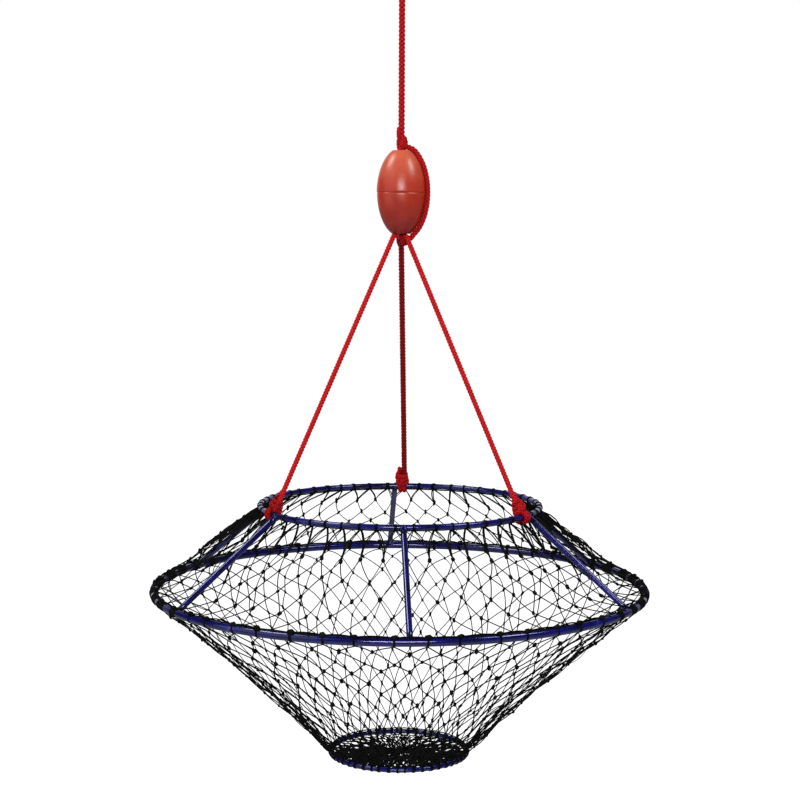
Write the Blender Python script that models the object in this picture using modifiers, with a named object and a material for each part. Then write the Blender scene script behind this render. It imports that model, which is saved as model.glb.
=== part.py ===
"""Crab hoop net: a rigid cage of three painted steel hoops and netting, hung on a bridle and a float.

Metres, +Z up. The origin is where a hook bears in the eye at the top of the pull rope, and the net
hangs below it. The front of the net faces -Y.
"""

import math

import bmesh
import bpy
from mathutils import Matrix, Vector

# Clearance
touch_gap = 0.0003  # between pieces that touch

# Cage
main_hoop_diameter = 0.800  # on the rod's centre line, 32 in over the rod
top_hoop_diameter = 0.455
bait_ring_diameter = 0.224
frame_height = 0.136  # main hoop's plane to the top hoop's plane
bag_depth = 0.274  # main hoop's plane to the bait ring's plane
main_rod_diameter = 0.0127
top_rod_diameter = 0.0095
bait_rod_diameter = 0.008
strut_diameter = 0.0095
weld_flare_diameter = 0.0130
weld_flare_length = 0.0120
strut_names = ["front", "front_right", "back_right", "back", "back_left", "front_left"]
strut_turn = math.radians(2.2)

# Netting and lashings
twine_diameter = 0.0032
lashing_diameter = 0.0020
meshes_round = 24
upper_row_count = 2
lower_row_count = 3
bottom_meshes_round = 15
bottom_row_count = 2
gather_diameter = 0.020
gather_height = 0.007
hoop_lashing_turns = 18  # a multiple of the struts, which the turns pass on their far side
bait_lashing_turns = 12
lashing_steps = 8  # points in one turn

# Bridle, float and pull rope
bridle_height = 0.432  # top hoop's plane to the bridle knot's centre
bridle_cord_diameter = 0.0075
bridle_knot_diameter = 0.023
hitch_offset = 0.017  # a hitch lies this far along the top hoop from its strut
hitch_turns = 2
hitch_knot_width = 0.018
hitch_knot_height = 0.026
hitch_tail_length = 0.020
leg_top_slope = math.radians(65)  # where a leg leaves the knot, from straight down
float_length = 0.1335
float_diameter = 0.0784
float_end_diameter = 0.0288  # of the flat at each end
float_bore_diameter = 0.012
pull_rope_diameter = 0.0092
pull_rope_length = 0.2445  # stopper knot's centre to the eye knot's centre
side_strand_diameter = 0.0078
stopper_knot_diameter = 0.018
stopper_knot_height = 0.027
eye_knot_diameter = 0.021
eye_knot_height = 0.024
eye_height = 0.050  # eye knot's centre to where the hook bears
eye_width = 0.034

# Places worked out from the sizes above
main_hoop_radius = main_hoop_diameter / 2
top_hoop_radius = top_hoop_diameter / 2
bait_ring_radius = bait_ring_diameter / 2
bridle_knot_radius = bridle_knot_diameter / 2
float_bore_radius = float_bore_diameter / 2
float_radius = float_diameter / 2
stopper_knot_radius = stopper_knot_diameter / 2


def seat_height(half_width, half_height, bore_radius):
    """How far above the middle of an egg-shaped knot the rim of a bore rests on it."""
    return half_height * math.sqrt(1 - (bore_radius / half_width) ** 2)


eye_knot_z = -eye_height
stopper_knot_z = eye_knot_z - pull_rope_length
float_top_z = (
    stopper_knot_z
    - seat_height(stopper_knot_radius, stopper_knot_height / 2, float_bore_radius)
    - touch_gap
)
float_middle_z = float_top_z - float_length / 2
float_bottom_z = float_top_z - float_length
bridle_knot_z = (
    float_bottom_z
    - seat_height(bridle_knot_radius, bridle_knot_radius, float_bore_radius)
    - touch_gap
)
top_hoop_z = bridle_knot_z - bridle_height
main_hoop_z = top_hoop_z - frame_height
bait_ring_z = main_hoop_z - bag_depth

strut_angles = [
    strut_turn - math.radians(90) + index * math.tau / len(strut_names)
    for index in range(len(strut_names))
]
hitch_turn = hitch_offset / top_hoop_radius
leg_names = {"right": 1, "back": 3, "left": 5}  # each leg is hitched beside this strut

# Colours of the paints, cords and plastic, in linear light
blue_paint_colour = (0.012, 0.011, 0.135, 1.0)
black_twine_colour = (0.006, 0.006, 0.005, 1.0)
red_cord_colour = (0.50, 0.010, 0.014, 1.0)
float_colour = (0.50, 0.075, 0.040, 1.0)


def clear_scene():
    for old in list(bpy.data.objects):
        bpy.data.objects.remove(old, do_unlink=True)


def new_collection(name, hidden=False):
    made = bpy.data.collections.new(name)
    bpy.context.scene.collection.children.link(made)
    made.hide_render = hidden
    return made


def new_material(name, colour, roughness, metallic=0.0):
    made = bpy.data.materials.new(name)
    made.use_nodes = True
    shader = made.node_tree.nodes["Principled BSDF"]
    shader.inputs["Base Color"].default_value = colour
    shader.inputs["Roughness"].default_value = roughness
    shader.inputs["Metallic"].default_value = metallic
    made.diffuse_color = colour
    return made


clear_scene()
net = new_collection("crab_hoop_net")
cutters = new_collection("cutters", hidden=True)
blue_paint = new_material("blue_paint", blue_paint_colour, 0.25)
black_twine = new_material("black_twine", black_twine_colour, 0.85)
red_cord = new_material("red_cord", red_cord_colour, 0.7)
float_plastic = new_material("float_plastic", float_colour, 0.4)


def place(name, data, material):
    """A named object for this mesh or curve, in the net's collection."""
    made = bpy.data.objects.new(name, data)
    net.objects.link(made)
    if material:
        data.materials.append(material)
    if isinstance(data, bpy.types.Mesh):
        data.shade_smooth()
        data.set_sharp_from_angle(angle=math.radians(50))
    return made


def mesh_from(bm, name):
    data = bpy.data.meshes.new(name)
    bm.to_mesh(data)
    bm.free()
    return data


def around(radius, angle, z):
    return Vector((radius * math.cos(angle), radius * math.sin(angle), z))


rod_sides = 8


def hoop(name, radius, rod_radius, z, segments, material, collection=net):
    """A rod bent into a ring, lying flat at this height."""
    bpy.ops.mesh.primitive_torus_add(
        major_radius=radius,
        minor_radius=rod_radius,
        major_segments=segments,
        minor_segments=rod_sides,
    )
    made = bpy.context.object
    made.name = name
    made.location.z = z
    for holder in list(made.users_collection):
        holder.objects.unlink(made)
    collection.objects.link(made)
    if material:
        made.data.materials.append(material)
    made.data.shade_smooth()
    return made


def tube(name, points, diameter, material, sides_resolution=2):
    """A round cord through these points, with closed ends."""
    curve = bpy.data.curves.new(name, "CURVE")
    curve.dimensions = "3D"
    curve.bevel_depth = diameter / 2
    curve.bevel_resolution = sides_resolution
    curve.use_fill_caps = True
    spline = curve.splines.new("POLY")
    spline.points.add(len(points) - 1)
    for point, spot in zip(spline.points, points):
        point.co = (*spot, 1)
    return place(name, curve, material)


def as_mesh(made):
    """Turns a cord's curve object into a mesh object of the same name, with its caps welded on."""
    graph = bpy.context.evaluated_depsgraph_get()
    name = made.name
    matrix = made.matrix_world.copy()
    data = bpy.data.meshes.new_from_object(made.evaluated_get(graph))
    bm = bmesh.new()
    bm.from_mesh(data)
    bmesh.ops.remove_doubles(bm, verts=bm.verts, dist=touch_gap / 10)
    bm.to_mesh(data)
    bm.free()
    bpy.data.objects.remove(made, do_unlink=True)
    solid = bpy.data.objects.new(name, data)
    solid.matrix_world = matrix
    net.objects.link(solid)
    return solid


def combine(made, other, operation):
    """Cuts this object by the other, or joins the other to it."""
    other.hide_render = True
    other.display_type = "WIRE"
    change = made.modifiers.new(other.name, "BOOLEAN")
    change.operation = operation
    change.solver = "EXACT"
    change.object = other


def turned(name, profile, segments, material, closed=False):
    """A solid turned about Z from a profile of (radius, height) points, from the top down."""
    bm = bmesh.new()
    corners = [bm.verts.new((radius, 0, height)) for radius, height in profile]
    for first, second in zip(corners, corners[1:]):
        bm.edges.new((first, second))
    if closed:
        bm.edges.new((corners[-1], corners[0]))
    made = place(name, mesh_from(bm, name), material)
    screw = made.modifiers.new("turn", "SCREW")
    screw.steps = segments
    screw.render_steps = segments
    screw.use_merge_vertices = True
    screw.merge_threshold = 0.0001
    screw.use_smooth_shade = True
    return made


# Hoops: steel rod rolled to a ring, butt welded and painted.


def main_hoop(name, swell, material, collection):
    rod_radius = main_rod_diameter / 2 + swell
    return hoop(name, main_hoop_radius, rod_radius, main_hoop_z, 60, material, collection)


def top_hoop(name, swell, material, collection):
    rod_radius = top_rod_diameter / 2 + swell
    return hoop(name, top_hoop_radius, rod_radius, top_hoop_z, 48, material, collection)


def make_hoops():
    main_hoop("main_hoop", 0, blue_paint, net)
    top_hoop("top_hoop", 0, blue_paint, net)
    hoop("bait_ring", bait_ring_radius, bait_rod_diameter / 2, bait_ring_z, 36, blue_paint)


# Struts: straight rods welded between the top hoop and the main hoop.

strut_run = main_hoop_radius - top_hoop_radius
strut_length = math.hypot(strut_run, frame_height)
strut_lean = math.atan2(strut_run, frame_height)  # from straight down
strut_sides = 12


def make_struts():
    """Each strut runs between the centre lines of two hoops, and both hoops are cut out of its ends."""
    hoop_cutters = [
        top_hoop("top_hoop_cutter", touch_gap, None, cutters),
        main_hoop("main_hoop_cutter", touch_gap, None, cutters),
    ]
    flare_start = top_rod_diameter / 4
    flare_end = main_rod_diameter / 4
    profile = [
        (0, -flare_start),
        (weld_flare_diameter / 2, -flare_start),
        (strut_diameter / 2, -weld_flare_length),
        (strut_diameter / 2, weld_flare_length - strut_length),
        (weld_flare_diameter / 2, flare_end - strut_length),
        (0, flare_end - strut_length),
    ]
    for name, angle in zip(strut_names, strut_angles):
        strut = turned("strut_" + name, profile, strut_sides, blue_paint)
        strut.location = around(top_hoop_radius, angle, top_hoop_z)
        strut.rotation_euler = (0, -strut_lean, angle)
        for cutter in hoop_cutters:
            combine(strut, cutter, "DIFFERENCE")


# Lashings: one black twine wound round each hoop from end to end.


def lashing_reach(rod_radius):
    """Radius of the twine's centre line round the rod, so that the flats between points clear it."""
    return (rod_radius + touch_gap + lashing_diameter / 2) / math.cos(math.pi / lashing_steps)


def lashing_outside(rod_radius):
    return lashing_reach(rod_radius) + lashing_diameter / 2


def least_gap(points, diameter, steps_in_turn):
    """The least clear distance between places on a wound cord that lie a half turn or more apart."""
    near = steps_in_turn // 2
    gaps = [
        (first - second).length - diameter
        for index, first in enumerate(points)
        for second in points[index + near :]
    ]
    return min(gaps)


def make_lashing(name, radius, rod_radius, z, turns, clear_angle):
    """The twine crosses each strut's place at clear_angle round the rod."""
    reach = lashing_reach(rod_radius)
    steps = turns * lashing_steps
    points = []
    for index in range(steps):
        along = strut_angles[0] + math.tau * index / steps
        about = clear_angle + math.tau * index / lashing_steps
        points.append(
            around(radius + reach * math.cos(about), along, z + reach * math.sin(about))
        )
    tube(name, points, lashing_diameter, black_twine, sides_resolution=0)
    gap = least_gap(points, lashing_diameter, lashing_steps)
    print(f"{name}: its least gap to itself is {gap:.4f} m")


def make_lashings():
    from_top_hoop = math.atan2(-frame_height, strut_run)  # the way a strut leaves the top hoop
    make_lashing(
        "top_hoop_lashing",
        top_hoop_radius,
        top_rod_diameter / 2,
        top_hoop_z,
        hoop_lashing_turns,
        from_top_hoop + math.pi,
    )
    make_lashing(
        "main_hoop_lashing",
        main_hoop_radius,
        main_rod_diameter / 2,
        main_hoop_z,
        hoop_lashing_turns,
        from_top_hoop,
    )
    make_lashing(
        "bait_ring_lashing",
        bait_ring_radius,
        bait_rod_diameter / 2,
        bait_ring_z,
        bait_lashing_turns,
        math.pi,
    )


# Netting: knotted black twine in diamond meshes, hung from the lashings.


def border_reach(rod_radius):
    """How far from a hoop's centre line the edge of the netting lies, clear of the lashing."""
    return lashing_outside(rod_radius) + touch_gap + twine_diameter / 2


def border(radius, rod_radius, z, angle):
    """(radius, height) of a netting's edge, seen from the rod's centre line at this angle."""
    reach = border_reach(rod_radius)
    return radius + reach * math.cos(angle), z + reach * math.sin(angle)


def netting(name, top, bottom, count, rows, open_cells=()):
    """A wall of diamond meshes between two (radius, height) edges.

    Each quad of a grid gets a knot at its middle, and the grid's own strings go, so that diamonds are
    left. The front strut has a knot behind it. open_cells are the meshes of the top edge that are left
    out, each as the angle at its middle.
    """
    bm = bmesh.new()
    bmesh.ops.create_cone(
        bm,
        cap_ends=False,
        segments=count,
        radius1=bottom[0],
        radius2=top[0],
        depth=top[1] - bottom[1],
    )
    low, high = (min(v.co.z for v in bm.verts), max(v.co.z for v in bm.verts))
    upright = [e for e in bm.edges if abs(e.verts[0].co.z - e.verts[1].co.z) > (high - low) / 2]
    bmesh.ops.subdivide_edges(bm, edges=upright, cuts=rows - 1, use_grid_fill=True)
    first = min(bm.verts, key=lambda v: abs(math.atan2(v.co.y, v.co.x)))
    level = Matrix.Rotation(strut_angles[0] - math.atan2(first.co.y, first.co.x), 4, "Z")
    middle = Matrix.Translation((0, 0, (top[1] + bottom[1]) / 2))
    bmesh.ops.transform(bm, matrix=middle @ level, verts=bm.verts)
    strings = list(bm.edges)
    bmesh.ops.poke(bm, faces=bm.faces)
    inner = [e for e in strings if e.is_valid and len(e.link_faces) == 2]
    bmesh.ops.dissolve_edges(bm, edges=inner, use_verts=False)
    half_pitch = math.pi / count
    half_row = (top[1] - bottom[1]) / rows / 2
    gone = []
    for face in bm.faces:
        spot = face.calc_center_median()
        angle = math.atan2(spot.y, spot.x)
        if len(face.verts) != 3 or spot.z < top[1] - half_row:
            continue
        if any(abs(math.remainder(angle - cell, math.tau)) < half_pitch / 2 for cell in open_cells):
            gone.append(face)
    bmesh.ops.delete(bm, geom=gone, context="FACES")
    made = place(name, mesh_from(bm, name), black_twine)
    strands = made.modifiers.new("strands", "WIREFRAME")
    strands.thickness = twine_diameter
    strands.use_replace = True
    strands.use_boundary = True
    strands.use_even_offset = False
    return made


inward_from_strut = math.atan2(-strut_run, -frame_height)  # square to a strut, into the cage
main_inner_edge = math.radians(198)
main_lower_edge = math.radians(240)
bait_upper_edge = math.radians(62)
mesh_pitch = math.tau / meshes_round


def make_netting():
    hitch_cells = [
        strut_angles[index] - mesh_pitch / 2 for index in leg_names.values()
    ]
    netting(
        "upper_netting",
        border(top_hoop_radius, top_rod_diameter / 2, top_hoop_z, inward_from_strut),
        border(main_hoop_radius, main_rod_diameter / 2, main_hoop_z, main_inner_edge),
        meshes_round,
        upper_row_count,
        hitch_cells,
    )
    outer_radius, outer_z = border(
        bait_ring_radius, bait_rod_diameter / 2, bait_ring_z, bait_upper_edge
    )
    netting(
        "lower_netting",
        border(main_hoop_radius, main_rod_diameter / 2, main_hoop_z, main_lower_edge),
        (outer_radius / math.cos(mesh_pitch / 2), outer_z),
        meshes_round,
        lower_row_count,
    )
    edge = border_reach(bait_rod_diameter / 2)
    inner_edge = gather_diameter / 2 + touch_gap + twine_diameter / 2
    netting(
        "bottom_netting",
        (bait_ring_radius - edge, bait_ring_z),
        (inner_edge / math.cos(math.pi / bottom_meshes_round), bait_ring_z - bait_rod_diameter / 4),
        bottom_meshes_round,
        bottom_row_count,
    )
    knot_solid(
        "gather_tie",
        gather_diameter / 2,
        gather_height,
        bait_ring_z - bait_rod_diameter / 4,
        black_twine,
        bulges=1,
    )


# Knots: egg-shaped bodies with a bulge for each turn of the cord.

knot_segments = 14
bulge_points = 4
groove_share = 0.07  # how far the grooves between turns go in


def knot_solid(name, half_width, height, z, material, bulges=3):
    steps = bulges * bulge_points
    profile = [(0, height / 2)]
    for index in range(1, steps):
        polar = math.pi * index / steps
        groove = 1 - groove_share * (1 - abs(math.sin(bulges * polar)))
        profile.append((half_width * math.sin(polar) * groove, height / 2 * math.cos(polar)))
    profile.append((0, -height / 2))
    made = turned(name, profile, knot_segments, material)
    made.location.z = z
    return made


# Bridle: three legs of red cord from the knot under the float to hitches on the top hoop.

hitch_steps = 10  # points in one turn
hitch_reach = (
    lashing_outside(top_rod_diameter / 2) + bridle_cord_diameter / 2
) / math.cos(math.pi / hitch_steps)
hitch_knot_lift = hitch_reach + bridle_cord_diameter / 4 + hitch_knot_height / 4
hitch_knot_inset = bridle_cord_diameter


def hitch_angle(leg):
    return strut_angles[leg_names[leg]] - hitch_turn


def leg_route(leg):
    """(start, end) of a leg's centre line: at the bridle knot, and at the knot of its hitch."""
    angle = hitch_angle(leg)
    out = bridle_knot_radius + touch_gap + bridle_cord_diameter / 4
    start = around(
        out * math.sin(leg_top_slope), angle, bridle_knot_z - out * math.cos(leg_top_slope)
    )
    middle = around(top_hoop_radius - hitch_knot_inset, angle, top_hoop_z + hitch_knot_lift)
    along = (middle - start).normalized()
    return start, middle - along * (hitch_knot_height / 2 + touch_gap), middle


def straight(name, low, high, diameter, count):
    """A taut stretch of cord between two places."""
    points = [low.lerp(high, index / (count - 1)) for index in range(count)]
    tube(name, points, diameter, red_cord)


def make_legs():
    for leg in leg_names:
        start, end, _ = leg_route(leg)
        straight("bridle_leg_" + leg, end, start, bridle_cord_diameter, 16)


def make_hitch(leg):
    """Two turns round the hoop, the knot that they are tied with and the cord's tail, as one body."""
    angle = hitch_angle(leg)
    start, _, middle = leg_route(leg)
    along_hoop = Vector((-math.sin(angle), math.cos(angle), 0))
    outward = Vector((math.cos(angle), math.sin(angle), 0))
    centre = around(top_hoop_radius, angle, top_hoop_z)
    pitch = bridle_cord_diameter + touch_gap
    turns = []
    for index in range(hitch_turns * hitch_steps + 1):
        about = math.radians(90) + math.tau * index / hitch_steps
        shift = pitch * (index / hitch_steps - hitch_turns / 2)
        turns.append(
            centre
            + along_hoop * shift
            + outward * hitch_reach * math.cos(about)
            + Vector((0, 0, hitch_reach * math.sin(about)))
        )
    hitch = as_mesh(tube("hitch_" + leg, turns, bridle_cord_diameter, None, 1))
    hitch.data.materials.append(red_cord)

    knot = knot_solid(
        "hitch_knot_" + leg, hitch_knot_width / 2, hitch_knot_height, 0, None, bulges=2
    )
    lean = (start - middle).to_track_quat("Z", "Y")
    knot.matrix_world = Matrix.Translation(middle) @ lean.to_matrix().to_4x4()
    tail_way = (Vector((0, 0, 1)) + outward / 2 + along_hoop / 2).normalized()
    tail = as_mesh(
        tube(
            "hitch_tail_" + leg,
            [middle, middle + tail_way * (hitch_knot_width / 2 + hitch_tail_length / 2)],
            bridle_cord_diameter,
            None,
            1,
        )
    )
    for piece in (knot, tail):
        for holder in list(piece.users_collection):
            holder.objects.unlink(piece)
        cutters.objects.link(piece)
        combine(hitch, piece, "UNION")


# Float: a hollow-moulded egg with a bore, threaded on the cord between two knots.

float_steepest = math.acos(float_end_diameter / float_diameter)
float_half_height = float_length / 2 / math.sin(float_steepest)  # of the egg with uncut ends


def make_float():
    steps = 14
    half_length = float_length / 2
    profile = []
    for index in range(steps + 1):
        rise = float_steepest * (1 - 2 * index / steps)
        profile.append((float_radius * math.cos(rise), float_half_height * math.sin(rise)))
    profile += [(float_bore_radius, -half_length), (float_bore_radius, half_length)]
    made = turned("float", profile, 24, float_plastic, closed=True)
    made.location.z = float_middle_z


# How the strand goes over the float's top end: out in radii of the float, and up in strand diameters
strand_start_shares = [(0.40, 1.0), (0.55, 0.5)]
# How it comes in under the float to the bridle knot, in radii of the knot from its middle
strand_end_shares = [(2.00, 0.10, 0.78), (1.50, 0.27, 0.48), (0.955, 0.34, 0.427)]
strand_steepest = math.radians(53)  # where it leaves the float's side, above and below the middle
strand_side_steps = 10


def side_strand_points():
    """The second strand, from the stopper knot down the right side of the float to the bridle knot."""
    stand_off = side_strand_diameter / 2 + 3 * touch_gap
    half_length = float_length / 2
    points = [Vector((stopper_knot_radius + 2 * touch_gap, 0, half_length + side_strand_diameter))]
    for out, up in strand_start_shares:
        points.append(Vector((float_radius * out, 0, half_length + side_strand_diameter * up)))
    for index in range(strand_side_steps + 1):
        rise = strand_steepest * (1 - 2 * index / strand_side_steps)
        out = (float_radius + stand_off) * math.cos(rise)
        up = (float_half_height + stand_off) * math.sin(rise)
        points.append(Vector((out, 0, up)))
    knot = Vector((0, 0, bridle_knot_z - float_middle_z))
    knot_side = bridle_knot_radius + touch_gap
    points += [knot + Vector(share) * knot_side for share in strand_end_shares]
    return [point + Vector((0, 0, float_middle_z)) for point in points]


def make_ropes():
    rope_low = Vector((0, 0, stopper_knot_z + stopper_knot_height / 2 + touch_gap))
    rope_high = Vector((0, 0, eye_knot_z - eye_knot_height / 2 - touch_gap))
    straight("pull_rope", rope_low, rope_high, pull_rope_diameter, 11)
    cord_low = Vector((0, 0, bridle_knot_z + bridle_knot_radius + touch_gap))
    cord_high = Vector((0, 0, stopper_knot_z - stopper_knot_height / 2 - touch_gap))
    straight("float_cord", cord_low, cord_high, pull_rope_diameter, 6)
    tube("side_strand", side_strand_points(), side_strand_diameter, red_cord, 1)


def make_eye():
    """The tied eye that a hook or a hand holds. Its two ends come down side by side onto the knot."""
    apart = pull_rope_diameter / 2 + touch_gap
    seat = seat_height(eye_knot_diameter / 2, eye_knot_height / 2, apart)
    bottom = eye_knot_z + seat + touch_gap
    height = pull_rope_diameter / 2 - bottom
    spread = eye_width / 2 - pull_rope_diameter / 2
    steps = 22
    points = []
    for index in range(steps + 1):
        turn = math.tau * index / steps
        out = apart * math.cos(turn / 2) + spread * math.sin(turn) * math.sin(turn / 2)
        points.append(Vector((out, 0, bottom + height * (1 - math.cos(turn)) / 2)))
    tube("hanging_eye", points, pull_rope_diameter, red_cord)


def make_knots():
    knot_solid(
        "stopper_knot", stopper_knot_radius, stopper_knot_height, stopper_knot_z, red_cord
    )
    knot_solid(
        "bridle_knot", bridle_knot_radius, bridle_knot_diameter, bridle_knot_z, red_cord
    )
    knot_solid("eye_knot", eye_knot_diameter / 2, eye_knot_height, eye_knot_z, red_cord)


# Pivots: the cage swings about the bridle knot, and the bait ring lifts inside it. The float and the
# bridle knot turn about their own origins, and the rest is held still by the hook.

still_pieces = ["pull_rope", "hanging_eye", "eye_knot", "stopper_knot", "float_cord", "side_strand"]
own_origin_pieces = ["float", "bridle_knot"]
bait_pieces = ["bait_ring", "bait_ring_lashing", "bottom_netting", "gather_tie"]


def pivot(name, z, pieces):
    """An empty on a joint's axis, which carries these pieces and leaves them in place."""
    empty = bpy.data.objects.new(name, None)
    empty.location.z = z
    for piece in pieces:
        piece.parent = empty
        piece.matrix_parent_inverse = Matrix.Translation((0, 0, -z))
    net.objects.link(empty)
    return empty


def make_pivots():
    left_out = still_pieces + own_origin_pieces + bait_pieces
    cage_pieces = [piece for piece in net.objects if piece.name not in left_out]
    lift = pivot("bait_ring_lift", bait_ring_z, [net.objects[name] for name in bait_pieces])
    pivot("cage_swing", bridle_knot_z, cage_pieces + [lift])


make_hoops()
make_struts()
make_lashings()
make_netting()
make_legs()
for leg in leg_names:
    make_hitch(leg)
make_float()
make_ropes()
make_eye()
make_knots()
make_pivots()
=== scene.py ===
"""Looks of a crab hoop net: three painted steel hoops and knotted netting, hung on a red cord bridle.

Metres, +Z up, in the row frame: the origin is in the eye at the top of the pull rope, and the front
of the net faces -Y.
"""

import math
import random

import bmesh
import bpy
from mathutils import Matrix, Vector
from mathutils.geometry import interpolate_bezier
from mathutils.kdtree import KDTree


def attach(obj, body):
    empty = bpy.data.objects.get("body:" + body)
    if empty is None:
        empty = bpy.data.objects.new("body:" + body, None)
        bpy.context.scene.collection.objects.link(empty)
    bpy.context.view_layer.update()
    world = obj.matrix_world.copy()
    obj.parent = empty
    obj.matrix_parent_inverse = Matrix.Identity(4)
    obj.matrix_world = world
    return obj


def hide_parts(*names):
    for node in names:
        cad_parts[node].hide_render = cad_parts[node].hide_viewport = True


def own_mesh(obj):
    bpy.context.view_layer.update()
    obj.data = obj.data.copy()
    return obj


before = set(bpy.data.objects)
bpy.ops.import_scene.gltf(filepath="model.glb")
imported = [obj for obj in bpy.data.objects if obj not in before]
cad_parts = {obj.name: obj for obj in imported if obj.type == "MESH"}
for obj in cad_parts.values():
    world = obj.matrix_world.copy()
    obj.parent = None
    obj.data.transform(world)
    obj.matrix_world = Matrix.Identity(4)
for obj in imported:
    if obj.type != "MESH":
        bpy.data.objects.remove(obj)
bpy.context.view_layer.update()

# The studio: a camera level with the bridle's knot, tipped down a little, in a plain white room.
# The net hangs well above a pale floor, lit by a wide soft box in front, a large one at the left
# and two small ones above, to the left and right.

camera_distance = 2.854
camera_height = -0.448
camera_tilt = math.radians(5.2)
camera_roll = 0.0045
camera_lens = 79.2
camera_shift = -0.0004
floor_height = -2.25
floor_half_side = 14

camera = bpy.data.objects.new("camera", bpy.data.cameras.new("camera"))
bpy.context.collection.objects.link(camera)
camera.data.lens = camera_lens
camera.data.sensor_width = 36
camera.data.shift_x = camera_shift
camera.matrix_world = (
    Matrix.Translation((0, -camera_distance, camera_height))
    @ Matrix.Rotation(math.radians(90) - camera_tilt, 4, "X")
    @ Matrix.Rotation(camera_roll, 4, "Z")
)
bpy.context.scene.camera = camera
bpy.context.scene.view_settings.view_transform = "Standard"


def soft_lamp(name, spot, aim, size, watts):
    """A soft box of this width and height at this spot, turned to this aim."""
    lamp = bpy.data.objects.new(name, bpy.data.lights.new(name, "AREA"))
    bpy.context.collection.objects.link(lamp)
    lamp.data.shape = "RECTANGLE"
    lamp.data.size, lamp.data.size_y = size
    lamp.data.energy = watts
    look = Vector(aim) - Vector(spot)
    lamp.matrix_world = Matrix.Translation(spot) @ look.to_track_quat("-Z", "Y").to_matrix().to_4x4()


soft_lamp("lamp_front", (0, -2.9, 0.12), (0, 0, -0.7), (1.40, 0.60), 38)
soft_lamp("lamp_over_left", (-1.28, -0.08, 1.03), (0, 0, -0.6), (0.80, 0.80), 16)
soft_lamp("lamp_over_right", (1.5, -0.7, 1.00), (0, 0, -0.6), (0.80, 0.80), 16)
soft_lamp("lamp_left", (-2.4, -1.4, 0.1), (0, 0, -0.8), (2.80, 2.80), 15)


def set_inputs(node, **values):
    """Gives a shader node's inputs these values. A _ in a name stands for a space."""
    for socket, value in values.items():
        node.inputs[socket.replace("_", " ")].default_value = value
    return node


room = bpy.data.worlds.new("room")
bpy.context.scene.world = room
room.use_nodes = True
nodes = room.node_tree.nodes
links = room.node_tree.links
seen = nodes.new("ShaderNodeLightPath")
white = set_inputs(nodes.new("ShaderNodeBackground"), Color=(1, 1, 1, 1))
dim = set_inputs(nodes["Background"], Color=(0.95, 0.97, 1.0, 1))
strength = set_inputs(nodes.new("ShaderNodeMapRange"), To_Min=0.40)
toward = nodes.new("ShaderNodeTexCoord")
apart = nodes.new("ShaderNodeSeparateXYZ")
backdrop = nodes.new("ShaderNodeMapRange")
set_inputs(backdrop, From_Min=0.55, From_Max=0.95, To_Min=0.04, To_Max=0.80)
links.new(toward.outputs["Generated"], apart.inputs[0])
links.new(apart.outputs["Y"], backdrop.inputs["Value"])
links.new(backdrop.outputs[0], strength.inputs["To Max"])
links.new(seen.outputs["Is Glossy Ray"], strength.inputs["Value"])
links.new(strength.outputs[0], dim.inputs["Strength"])
either = nodes.new("ShaderNodeMath")
either.operation = "MAXIMUM"
mix = nodes.new("ShaderNodeMixShader")
links.new(seen.outputs["Is Camera Ray"], either.inputs[0])
links.new(seen.outputs["Is Transmission Ray"], either.inputs[1])
links.new(either.outputs[0], mix.inputs["Fac"])
links.new(dim.outputs[0], mix.inputs[1])
links.new(white.outputs[0], mix.inputs[2])
links.new(mix.outputs[0], nodes["World Output"].inputs["Surface"])


def object_from(bm, name):
    """Turns a finished bmesh into an object of this name."""
    made = bpy.data.objects.new(name, bpy.data.meshes.new(name))
    bm.to_mesh(made.data)
    bm.free()
    bpy.context.collection.objects.link(made)
    return made


def new_material(name):
    """A new material, with its nodes, its links and its shader."""
    material = bpy.data.materials.new(name)
    material.use_nodes = True
    nodes = material.node_tree.nodes
    return material, nodes, material.node_tree.links, nodes["Principled BSDF"]


def math_node(nodes, operation, second):
    """A math node that works with this second number."""
    node = nodes.new("ShaderNodeMath")
    node.operation = operation
    node.inputs[1].default_value = second
    return node


bm = bmesh.new()
bmesh.ops.create_grid(bm, x_segments=2, y_segments=2, size=floor_half_side)
bmesh.ops.translate(bm, vec=(0, 4, floor_height), verts=bm.verts)
floor = object_from(bm, "floor")
floor_paint, nodes, links, shader = new_material("floor_paint")
set_inputs(shader, Base_Color=(0.55, 0.55, 0.55, 1), Roughness=0.9)
glow = set_inputs(nodes.new("ShaderNodeEmission"), Color=(1, 1, 1, 1))
seen = nodes.new("ShaderNodeLightPath")
share = math_node(nodes, "MULTIPLY", 0.88)
together = nodes.new("ShaderNodeAddShader")
links.new(seen.outputs["Is Camera Ray"], share.inputs[0])
links.new(share.outputs[0], glow.inputs["Strength"])
links.new(shader.outputs[0], together.inputs[0])
links.new(glow.outputs[0], together.inputs[1])
links.new(together.outputs[0], nodes["Material Output"].inputs["Surface"])
floor.data.materials.append(floor_paint)

# The pull rope: red braided polypropylene, eight yarns over a core. It runs plumb from the stopper
# knot up to the eye that a hand or a hook holds, above the picture.

pull_rope_diameter = 0.0092
red_cord_colour = (0.585, 0.010, 0.013)


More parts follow.
